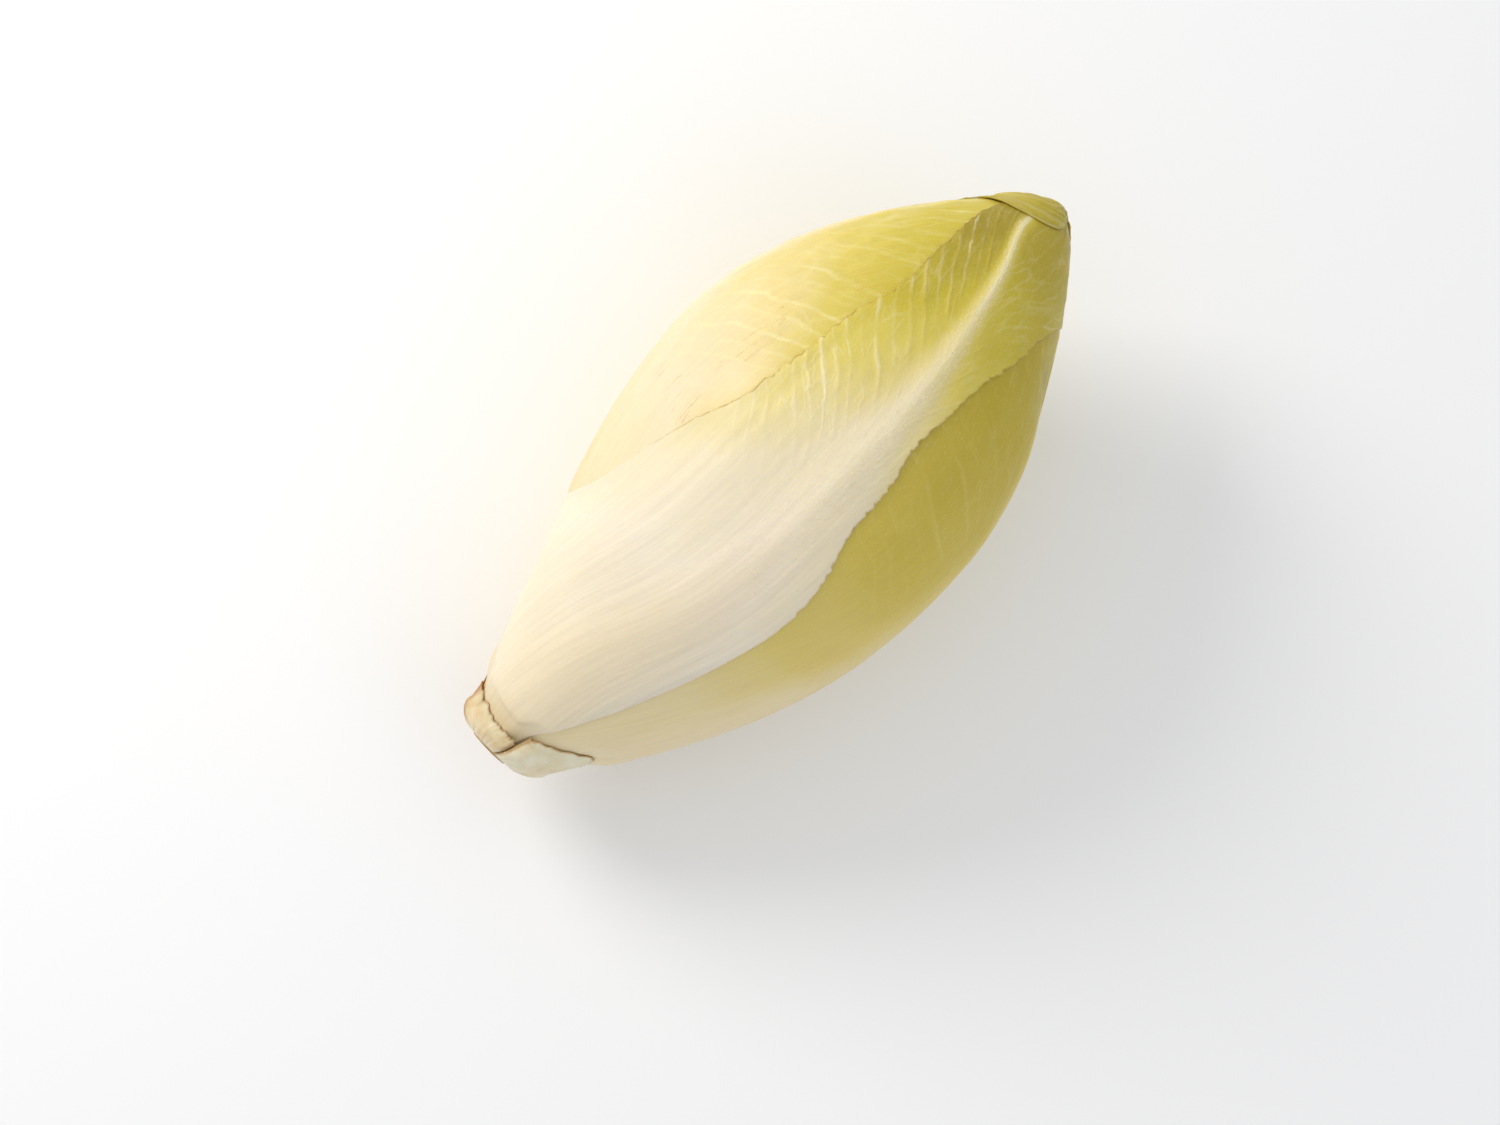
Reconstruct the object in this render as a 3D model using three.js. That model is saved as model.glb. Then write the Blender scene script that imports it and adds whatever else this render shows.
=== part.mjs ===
// A Belgian endive (chicon): a closed, pointed head of pale leaves wrapped round a short core,
// trimmed to a blunt root end and lying on its side. Millimetres, +X to the tip, +Z up.
//
// The head has one outer skin. The leaves are laid under it from the outside in: each one sinks
// by the thickness of every leaf that already covers it, so that they nest without touching.
// Places on the head are a share t of its length and an angle from the top (+Z) towards +Y.
import * as THREE from "three";

// ---- driving dimensions ----
const LENGTH = 150; // from where the trimming starts to the tip
const BELLY_RADIUS = 37.2; // half the width at the widest place
const BELLY_AT = 0.53; // where the head is widest, as a share of its length
const CUT_RADIUS = 10.9; // where the trimming starts
const CUT_AT = -0.033; // the flat knife cut at the root end, as a share of the length
const CUT_ROUND = 0.0365; // the trimmed end is part of an ellipse of this half length
const STUBS_FROM = -0.026; // where the trimmed leaves end short of the cut
const NOSE_END = 1.03; // where the taper towards the nose would reach the axis
const NOSE_POWER = 1.09;
const NOSE_ROUND = 0.965; // from here the nose is rounded off
const FLATNESS = 0.94; // height over width
const BOW = 28.4; // sideways bow of the axis: 3 mm at a quarter of the length
const PITCH = 9; // degrees: the heavy root end lies lower than the nose
const PRESSED = 1.6; // how far the resting side is flattened by the head's own weight

// The core's radius along the head, as [t, mm].
const CORE = [
  [CUT_AT, 4.2], [STUBS_FROM, 4.4], [-0.02, 6], [-0.01, 8], [0, 8.7], [0.02, 7.9],
  [0.05, 7.4], [0.12, 7], [0.2, 5.4], [0.26, 3.2], [0.31, 0],
];
const CORE_GAP = 0.35; // between the core and a leaf's root

const MARGIN = 0.6; // a leaf's thickness at its edge
const BLADE = [3.2, 1.9]; // beside the midrib, at the root and at the tip
const RIB = [4.4, 0.6]; // how much the midrib adds to it
const RIB_WIDTH = 12; // half of it
const AIR = 1.35; // between one leaf and the next
const LOOSE = 0.5; // what the middle of the head adds to it
const STUB_AIR = 0.5; // under a trimmed stub
const LEAST_ROOM = 1.5; // what a leaf needs between its cover and the core or the axis
const BLUNT = 0.985; // the share of a leaf's length where its apex is cut off
const UNCOVER = 12; // how far past a leaf's edge the leaf underneath is back at its own height

const INNER_LEAVES = 13;
const GOLDEN_ANGLE = 137.5; // degrees from one leaf to the next

// ---- the head's skin ----
const { clamp, degToRad, lerp, smoothstep } = THREE.MathUtils;

function headRadius(t) {
  if (t < 0) return CUT_RADIUS * Math.sqrt(1 - (t / CUT_ROUND) ** 2);
  if (t < BELLY_AT) {
    const rise = Math.sin((Math.PI / 2) * (t / BELLY_AT));
    return lerp(CUT_RADIUS, BELLY_RADIUS, rise);
  }
  const x = (t - BELLY_AT) / (NOSE_END - BELLY_AT);
  const rounding = clamp((t - NOSE_ROUND) / (1 - NOSE_ROUND), 0, 1);
  return BELLY_RADIUS * Math.cos((Math.PI / 2) * x ** NOSE_POWER) * Math.sqrt(1 - rounding ** 2);
}

// The radial length of one millimetre measured square to the skin.
function slant(t) {
  const rise = (headRadius(t + 0.005) - headRadius(t - 0.005)) / (0.01 * LENGTH);
  return Math.min(Math.hypot(1, rise), 2);
}

const bowAt = (t) => -BOW * t * (1 - t) ** 3;
const pitched = (x, y, z) =>
  new THREE.Vector3(x, y, z).applyAxisAngle(new THREE.Vector3(0, -1, 0), degToRad(PITCH));

let floor = Infinity;
for (let t = 0; t <= 1; t += 0.01) {
  floor = Math.min(floor, pitched(t * LENGTH, 0, -headRadius(t) * FLATNESS).z + PRESSED);
}

// The point of the head at (t, angle), so many millimetres under its skin.
function place(t, angle, depth) {
  const r = headRadius(t) - depth * slant(t);
  const y = r * Math.sin(angle) + bowAt(t);
  const point = pitched(t * LENGTH, y, r * Math.cos(angle) * FLATNESS);
  return point.setZ(Math.max(point.z, floor + depth));
}

// A smooth line through [t, value] knots, level beyond its ends.
function curve(knots) {
  const at = knots.map((knot) => knot[0]);
  const values = knots.map((knot) => knot[1]);
  const smooth = new THREE.CubicInterpolant(at, values, 1, [0]);
  return (t) => smooth.evaluate(clamp(t, at[0], at.at(-1)))[0];
}

const coreRadius = curve(CORE);

// ---- one leaf ----
// Its low edge, its midrib and its high edge are angles that change along the head, in radians.
// shell is its radius over the skin's, which turns angles into widths.
// least: the leaf ends where it has less room than this under the skin. blunt: the share of its
// length where its apex is cut off.
function outerLeaf({ low, rib, high, ...rest }) {
  const radians = (knots) => curve(knots.map(([t, degrees]) => [t, degToRad(degrees)]));
  const edges = { low: radians(low), rib: radians(rib), high: radians(high) };
  const usual = { base: 0.016, plump: 1, shell: 1, grid: [14, 22], bunch: 0.75 };
  return { ...usual, least: LEAST_ROOM, blunt: BLUNT, ...edges, ...rest };
}

// A few millimetres of a leaf that was trimmed off, between two angles.
function stub(name, from, to, tip) {
  const rib = () => degToRad((from + to) / 2);
  const reach = (t) => degToRad((to - from) / 2) * (1 - 0.2 * Math.max(t / tip, 0) ** 3);
  const low = (t) => rib() - reach(t);
  const high = (t) => rib() + reach(t);
  return { name, low, rib, high, base: STUBS_FROM, tip, flat: 1.3, shell: 1, grid: [10, 5] };
}

// inward: 0 for the outermost of the inner leaves, 1 at the heart.
function innerLeaf(name, angle, inward) {
  const leaf = {
    name,
    base: 0.02,
    tip: lerp(0.94, 0.68, inward),
    plump: lerp(1, 0.7, inward),
    shell: lerp(0.92, 0.3, inward),
    grid: [10, 12],
    bunch: 0.45,
    least: LEAST_ROOM,
    blunt: BLUNT,
  };
  const root = lerp(10, 3, inward);
  const full = lerp(37, 11, inward ** 1.2);
  const half = (t) => {
    const v = clamp((t - leaf.base) / (leaf.tip - leaf.base), 0, 1);
    if (v < 0.55) return lerp(root, full, smoothstep(v, 0, 0.55));
    return full * Math.cos((Math.PI / 2) * ((v - 0.55) / 0.45) ** 1.6);
  };
  const reach = (t) => Math.min(half(t) / (headRadius(t) * leaf.shell), 2.6);
  leaf.rib = () => degToRad(angle);
  leaf.low = (t) => leaf.rib() - reach(t);
  leaf.high = (t) => leaf.rib() + reach(t);
  return leaf;
}

// How a place lies on a leaf: v along it, the arc from its midrib, and how far outside its edge
// it is (negative on the leaf).
function onLeaf(leaf, t, angle) {
  const near = clamp(t, leaf.base, leaf.tip);
  const rib = leaf.rib(near);
  const turn = Math.atan2(Math.sin(angle - rib), Math.cos(angle - rib));
  const perRadian = headRadius(near) * leaf.shell;
  const half = (turn < 0 ? rib - leaf.low(near) : leaf.high(near) - rib) * perRadian;
  const arc = Math.abs(turn) * perRadian;
  const v = (near - leaf.base) / (leaf.tip - leaf.base);
  const past = Math.abs(t - near) * LENGTH;
  const over = arc - half;
  return { v, arc, outside: past > 0 ? Math.hypot(Math.max(over, 0), past) : over };
}

// A broad midrib, thick at the root, in a blade that thins to its edge.
function thickness(leaf, t, angle) {
  if (leaf.flat) return leaf.flat;
  const { v, arc, outside } = onLeaf(leaf, t, angle);
  const blade = lerp(...BLADE, smoothstep(v, 0, 0.6));
  const rib = lerp(...RIB, smoothstep(v, 0.05, 1)) * Math.exp(-((arc / RIB_WIDTH) ** 2));
  return lerp(MARGIN, Math.max(MARGIN, (blade + rib) * leaf.plump), smoothstep(-outside, 0, 6));
}

function depthUnder(covers, t, angle) {
  const air = AIR + LOOSE * Math.sin(Math.PI * clamp(t, 0, 1)) ** 2;
  let depth = 0;
  for (const leaf of covers) {
    const cover = 1 - smoothstep(onLeaf(leaf, t, angle).outside, 1.5, UNCOVER);
    if (cover > 0) depth += cover * (thickness(leaf, t, angle) + (leaf.flat ? STUB_AIR : air));
  }
  return depth;
}

const room = (covers, t, angle) =>
  (headRadius(t) - coreRadius(t) - CORE_GAP) / slant(t) - depthUnder(covers, t, angle);

// A leaf springs from the core above the one before it, where it first clears it, and ends while
// it is clear of the axis.
function trim(leaf, covers) {
  leaf.base = Math.max(leaf.base, covers.at(-1).base + 0.003);
  const across = [0, 0.25, 0.5, 0.75, 1];
  const roomAt = (t, u) => room(covers, t, lerp(leaf.low(t), leaf.high(t), u));
  const clears = (t) => across.every((u) => roomAt(t, u) > leaf.least);
  while (!clears(leaf.base) && leaf.base < leaf.tip) leaf.base += 0.002;
  while (!clears(leaf.tip) && leaf.base < leaf.tip) leaf.tip -= 0.002;
  if (leaf.tip - leaf.base < 0.2) throw new Error(leaf.name + " has no room");
}

function leafGeometry(leaf, covers) {
  const [across, along] = leaf.grid;
  const outer = [];
  const inner = [];
  for (let i = 0; i <= along; i++) {
    const even = i / along;
    const v = leaf.flat ? even : lerp(even, (1 - Math.cos(Math.PI * even)) / 2, leaf.bunch) * leaf.blunt;
    const t = lerp(leaf.base, leaf.tip, v);
    for (let j = 0; j <= across; j++) {
      const u = (2 * j) / across - 1;
      const edge = u < 0 ? leaf.low(t) : leaf.high(t);
      const angle = lerp(leaf.rib(t), edge, Math.abs(u));
      const top = depthUnder(covers, t, angle);
      const thick = Math.min(thickness(leaf, t, angle), room(covers, t, angle));
      outer.push(place(t, angle, top));
      inner.push(place(t, angle, top + thick));
    }
  }
  return slab(outer, inner, across, along);
}

// A closed skin round two grids of points of the same size: outer faces, inner faces and the rim.
function slab(outer, inner, across, along) {
  const row = across + 1;
  const shift = outer.length;
  const index = [];
  const points = [...outer, ...inner];
  const quad = (a, b, c, d) => {
    const short = points[a].distanceTo(points[c]) < points[b].distanceTo(points[d]);
    index.push(...(short ? [a, c, b, a, d, c] : [b, d, c, b, a, d]));
  };
  for (let i = 0; i < along; i++) {
    for (let j = 0; j < across; j++) {
      const a = i * row + j;
      quad(a, a + 1, a + 1 + row, a + row);
      quad(a + shift, a + row + shift, a + row + 1 + shift, a + 1 + shift);
    }
    const left = i * row;
    const right = left + across;
    quad(left, left + row, left + row + shift, left + shift);
    quad(right, right + shift, right + row + shift, right + row);
  }
  for (let j = 0; j < across; j++) {
    const last = along * row + j;
    quad(j, j + shift, j + 1 + shift, j + 1);
    quad(last, last + 1, last + 1 + shift, last + shift);
  }
  const geometry = new THREE.BufferGeometry().setFromPoints(points);
  geometry.setIndex(index);
  geometry.computeVertexNormals();
  return geometry;
}

// ---- the leaves, from the outside in ----
const leaves = [
  stub("trimmed_leaf_stub_left", -20, 96, 0.03),
  stub("trimmed_leaf_stub_back", 99, 229, 0.04),
  stub("trimmed_leaf_stub_right", -128, -23, 0.062),
  // The leaf the head rests on. Its apex curls over the nose and closes it.
  outerLeaf({
    name: "outer_leaf_back",
    tip: 1,
    low: [
      [0.016, 140], [0.1, 112], [0.3, 101], [0.6, 95], [0.8, 88],
      [0.9, 80], [0.945, 56], [0.97, -10], [1, -44],
    ],
    rib: [[0.016, 176], [0.6, 178], [0.8, 174], [0.9, 165], [0.95, 145], [1, 130]],
    high: [
      [0.016, 212], [0.1, 245], [0.3, 260], [0.6, 266],
      [0.8, 262], [0.9, 252], [0.95, 264], [1, 312],
    ],
    least: 0.2,
    blunt: 1,
  }),
  // The broad leaf on top. Its root wraps the left side.
  outerLeaf({
    name: "outer_leaf_front",
    tip: 0.985,
    low: [
      [0.016, -12], [0.06, -19], [0.15, -27], [0.4, -32], [0.5, -25],
      [0.66, -23], [0.8, -36], [0.87, -56], [0.9, -78],
    ],
    rib: [[0.016, 14], [0.1, 10], [0.3, -8], [0.53, -11], [0.8, -9], [0.88, -3], [0.985, 20]],
    high: [
      [0.016, 44], [0.08, 75], [0.2, 93], [0.26, 84], [0.3, 60],
      [0.4, 41], [0.52, 28], [0.74, 22], [0.88, 33], [0.985, 60],
    ],
  }),
  outerLeaf({
    name: "outer_leaf_left",
    tip: 1,
    low: [[0.016, 64], [0.1, 48], [0.3, 18], [0.5, 3], [0.75, 0], [0.9, 8], [1, 20]],
    rib: [[0.016, 90], [0.6, 80], [0.9, 72], [1, 62]],
    high: [[0.016, 118], [0.1, 128], [0.3, 136], [0.6, 140], [0.8, 136], [0.92, 126], [1, 108]],
  }),
  outerLeaf({
    name: "outer_leaf_right",
    tip: 0.93,
    low: [[0.016, -120], [0.1, -132], [0.3, -138], [0.6, -142], [0.8, -138], [0.93, -120]],
    rib: [[0.016, -74], [0.3, -72], [0.6, -78], [0.8, -80], [0.93, -82]],
    high: [[0.016, -24], [0.1, -14], [0.3, -6], [0.6, -2], [0.8, -14], [0.93, -44]],
  }),
];

for (let n = 0; n < INNER_LEAVES; n++) {
  const inward = n / (INNER_LEAVES - 1);
  const kind = inward < 0.75 ? "inner_leaf_" : "heart_leaf_";
  leaves.push(innerLeaf(kind + String(n + 5).padStart(2, "0"), 35 - GOLDEN_ANGLE * n, inward));
}

const leafMaterials = {
  trimmed: new THREE.MeshStandardMaterial({ color: 0xcdb684, roughness: 0.6, metalness: 0 }),
  outer: new THREE.MeshStandardMaterial({ color: 0xe8dfa8, roughness: 0.42, metalness: 0 }),
  inner: new THREE.MeshStandardMaterial({ color: 0xeee6a6, roughness: 0.42, metalness: 0 }),
  heart: new THREE.MeshStandardMaterial({ color: 0xf0e884, roughness: 0.42, metalness: 0 }),
};

const head = new THREE.Group();
leaves.forEach((leaf, n) => {
  const covers = leaf.flat ? [] : leaves.slice(0, n);
  if (!leaf.flat) trim(leaf, covers);
  const kind = leaf.name.split("_")[0];
  const mesh = new THREE.Mesh(leafGeometry(leaf, covers), leafMaterials[kind]);
  mesh.name = leaf.name;
  head.add(mesh);
});

// ---- the core ----
function coreMesh() {
  const ts = CORE.map((knot) => knot[0]);
  const profile = [new THREE.Vector2(0, CUT_AT * LENGTH)];
  for (let i = 0; i + 1 < ts.length; i++) {
    for (const t of [ts[i], (ts[i] + ts[i + 1]) / 2]) {
      profile.push(new THREE.Vector2(coreRadius(t), t * LENGTH));
    }
  }
  profile.push(new THREE.Vector2(0, ts.at(-1) * LENGTH));
  const geometry = new THREE.LatheGeometry(profile, 20);
  // The lathe turns round Y: lay it along X and give it the head's bow, flatness and pitch.
  geometry.rotateZ(-Math.PI / 2);
  const p = geometry.getAttribute("position");
  for (let i = 0; i < p.count; i++) {
    const bow = bowAt(p.getX(i) / LENGTH);
    p.setXYZ(i, ...pitched(p.getX(i), p.getY(i) + bow, p.getZ(i) * FLATNESS).toArray());
  }
  geometry.computeVertexNormals();
  const material = new THREE.MeshStandardMaterial({ color: 0xded0a4, roughness: 0.6, metalness: 0 });
  const mesh = new THREE.Mesh(geometry, material);
  mesh.name = "core";
  return mesh;
}
head.add(coreMesh());

// ---- origin: the middle of the base of the head's box ----
const box = new THREE.Box3().setFromObject(head, true);
head.position.set(-(box.min.x + box.max.x) / 2, -(box.min.y + box.max.y) / 2, -box.min.z);

const part = new THREE.Group();
part.add(head);
export default part;
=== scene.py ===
import math
import random

import bmesh
import bpy
import numpy as np
from mathutils import Matrix, Vector, noise


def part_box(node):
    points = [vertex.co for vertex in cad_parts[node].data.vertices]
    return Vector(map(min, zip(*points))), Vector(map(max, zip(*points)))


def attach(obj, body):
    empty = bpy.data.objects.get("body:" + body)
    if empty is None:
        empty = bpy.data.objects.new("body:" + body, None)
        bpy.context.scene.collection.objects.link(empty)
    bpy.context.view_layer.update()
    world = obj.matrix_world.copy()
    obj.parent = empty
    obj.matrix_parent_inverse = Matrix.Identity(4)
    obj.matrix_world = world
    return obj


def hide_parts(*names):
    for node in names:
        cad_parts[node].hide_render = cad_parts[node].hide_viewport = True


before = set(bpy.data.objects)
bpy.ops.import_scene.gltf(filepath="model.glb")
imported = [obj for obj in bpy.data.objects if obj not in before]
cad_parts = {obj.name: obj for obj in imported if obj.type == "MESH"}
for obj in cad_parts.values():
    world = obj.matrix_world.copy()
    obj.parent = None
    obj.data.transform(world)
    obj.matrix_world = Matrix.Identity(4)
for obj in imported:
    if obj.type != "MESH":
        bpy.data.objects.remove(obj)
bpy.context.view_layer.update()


# ---- The leaf the head rests on ----
# Every leaf of a chicon is wrapped round the same pointed, slightly bowed form, and lies under
# the leaves outside it. This one is the outermost at the back: the head lies on it, and its
# apex curls over the nose. The form and the laying of a leaf are given here, with the first:
# lengths are in mm, and places along the head are shares of its length.
LENGTH = 150.0
BELLY, BELLY_AT = 37.2, 0.53
BUTT, BUTT_ROUND, CUT_AT = 10.9, 0.0365, -0.033
CORE = [
    (CUT_AT, 4.2), (-0.026, 4.4), (-0.02, 6.0), (-0.01, 8.0), (0, 8.7), (0.02, 7.9),
    (0.05, 7.4), (0.12, 7.0), (0.2, 5.4), (0.26, 3.2), (0.31, 0),
]
FLATNESS = 0.94
BOW = 28.4
PITCH = math.radians(9)
PRESSED = 1.6
STUB_THICKNESS = 0.85


def smooth(x, low, high):
    x = np.clip((x - low) / (high - low), 0, 1)
    return x * x * (3 - 2 * x)


def head_radius(t):
    t = np.asarray(t, float)
    root = BUTT + (BELLY - BUTT) * np.sin(np.pi / 2 * np.clip(t / BELLY_AT, 0, 1))
    root = root * np.sqrt(1 - np.clip(t / -BUTT_ROUND, 0, 0.98) ** 2)
    x = np.clip((t - BELLY_AT) / (1.03 - BELLY_AT), 0, 1)
    rounding = np.clip((t - 0.965) / 0.035, 0, 1)
    nose = BELLY * np.cos(np.pi / 2 * x**1.09) * np.sqrt(1 - rounding**2)
    return np.where(t < BELLY_AT, root, nose)


def slant(t):
    rise = (head_radius(t + 0.005) - head_radius(t - 0.005)) / (0.01 * LENGTH)
    return np.minimum(np.hypot(1, rise), 2)


def pitched(x, y, z):
    c, s = math.cos(PITCH), math.sin(PITCH)
    return np.stack([c * x - s * z, y + 0 * x, s * x + c * z], -1)


share = np.arange(0, 1.005, 0.01)
FLOOR = pitched(share * LENGTH, 0, -head_radius(share) * FLATNESS)[:, 2].min() + PRESSED
core_low, core_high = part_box("core")
reach_back = min(pitched(t * LENGTH, 0, r * FLATNESS)[0] for t, r in CORE)
reach_left = max(r - BOW * t * (1 - t) ** 3 for t, r in CORE)
BUTT_AT = np.array([core_low[0] * 1000 - reach_back, core_high[1] * 1000 - reach_left, -FLOOR])
centre = Vector([float(c) for c in pitched(LENGTH / 2, 0, 0) + BUTT_AT]) / 1000


def lumps(t, a):
    """Shallow unevenness of the whole head, in millimetres."""
    swell = 0.30 * np.sin(2 * a + 5 * t + 0.4) + 0.22 * np.sin(3 * a - 8 * t + 1.9)
    swell += 0.14 * np.sin(5 * a + 13 * t) + 0.10 * np.sin(8 * a - 21 * t + 2.2)
    return swell * smooth(t, 0.02, 0.2) * (1 - smooth(t, 0.85, 1))


def place(t, a, depth):
    """Points of the head in metres: share of its length, angle, and depth under its skin in mm."""
    r = np.maximum(head_radius(t) + lumps(t, a) - depth * slant(t), 0.12)
    y = r * np.sin(a) - BOW * t * (1 - t) ** 3
    points = pitched(t * LENGTH, y, r * np.cos(a) * FLATNESS)
    points[:, 2] = np.maximum(points[:, 2], FLOOR + np.maximum(depth, 0))
    return (points + BUTT_AT) / 1000


def curve(knots, unit=math.pi / 180):
    """A smooth line through (t, value) knots, level beyond its ends."""
    ts = np.array([k[0] for k in knots], float)
    vs = np.array([k[1] for k in knots], float) * unit
    if len(knots) == 1:
        return lambda t: vs[0] + 0 * t

    def at(t):
        t = np.clip(t, ts[0], ts[-1])
        i = np.clip(np.searchsorted(ts, t, "right"), 1, len(ts) - 1)
        t0, t1, y0, y1 = ts[i - 1], ts[i], vs[i - 1], vs[i]
        before, after = np.maximum(i - 2, 0), np.minimum(i + 1, len(ts) - 1)
        tb = np.where(i > 1, ts[before], 2 * t0 - t1)
        ta = np.where(i < len(ts) - 1, ts[after], 2 * t1 - t0)
        yb = np.where(i > 1, vs[before], y1)
        ya = np.where(i < len(ts) - 1, vs[after], y0)
        wb, wa = (t1 - t0) / 2 / (t0 - tb), (t1 - t0) / 2 / (ta - t1)
        p = (t - t0) / (t1 - t0)
        value = (-wb * p**3 + 2 * wb * p**2 - wb * p) * yb
        value += ((1 + wb) * p**3 + (-1.5 - 2 * wb) * p**2 + (wb - 0.5) * p + 1) * y0
        value += ((-1 - wa) * p**3 + (1.5 + wa) * p**2 + 0.5 * p) * y1
        return value + (wa * p**3 - wa * p**2) * ya

    return at


class Leaf:
    """Where a leaf lies on the head, and its make: sizes in mm, places as a share of the head."""

    def __init__(self, name, base, tip, low, rib, high, **make):
        self.name, self.base, self.tip = name, base, tip
        self.low, self.rib, self.high = curve(low), curve(rib), curve(high)
        self.rib_height = 0.9
        self.veins, self.vein_height = 30, 0.16
        self.crinkle = 0.12
        self.teeth, self.wave = 0.4, 0.4
        self.lift = 0.2
        self.dent = 0.0
        self.sides = (1.0, 1.0)
        self.apex = 0.985
        self.seed = 1.0
        self.top = None
        self.__dict__.update(make)

    def on(self, t, a):
        """v along the leaf, signed arc from the rib, half its width, distance outside its edge."""
        tip = self.top(a) if self.top else self.tip
        near = np.clip(t, self.base, tip)
        rib = self.rib(near)
        turn = np.arctan2(np.sin(a - rib), np.cos(a - rib))
        radius = head_radius(near)
        half = np.where(turn < 0, rib - self.low(near), self.high(near) - rib) * radius
        arc = turn * radius
        past = np.abs(t - near) * LENGTH
        over = np.abs(arc) - half
        outside = np.where(past > 0, np.hypot(np.maximum(over, 0), past), over)
        return (near - self.base) / (tip - self.base), arc, half, outside

    def thickness(self, t, a):
        if self.top:
            return STUB_THICKNESS + 0 * t
        v, arc, half, outside = self.on(t, a)
        blade = 1.3 - 0.75 * smooth(v, 0, 0.8)
        ridge = (1.5 - 1.3 * smooth(v, 0.1, 0.9)) * np.exp(-((arc / 8) ** 2))
        return 0.35 + (blade + ridge - 0.35) * smooth(-outside, 0, 4)


def depth_under(covers, t, a):
    """How deep the leaves outside it push a leaf, in mm."""
    depth = 0 * t
    for leaf in covers:
        outside = leaf.on(t, a)[3]
        cover = 1 - smooth(outside, 0.4, 4.5 if leaf.top else 10.0)
        air = 0.04 + 0.2 * smooth(-outside, 0.5, 5)
        depth = depth + cover * (leaf.thickness(t, a) + air)
    return depth


core_radius = curve(CORE, 1)


def room(t):
    """The depth at which the core begins."""
    return (head_radius(t) - np.where(t < CORE[-1][0], core_radius(t), 0) - 0.15) / slant(t)


def noise_at(x, y, z):
    return np.array([noise.noise((p, q, r)) for p, q, r in zip(x, y, z)])


def vein_field(leaf, v, arc, half):
    """Counts the side veins: a whole number on each. They run up along the rib, then outwards."""
    s = np.clip(np.abs(arc) / np.maximum(half, 0.5), 0, 1)
    climb = 0.42 - 0.24 * smooth(v, 0.15, 0.85)
    wander = noise_at(arc / 7, v * LENGTH / 12, 0 * v + leaf.seed)
    wander += 0.35 * noise_at(arc / 2.4, v * LENGTH / 5, 0 * v + leaf.seed + 5)
    start = v - climb * s**0.62 + 0.013 * wander
    return start * leaf.veins + np.where(arc < 0, 0.5, 0) + leaf.seed, s


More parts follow.
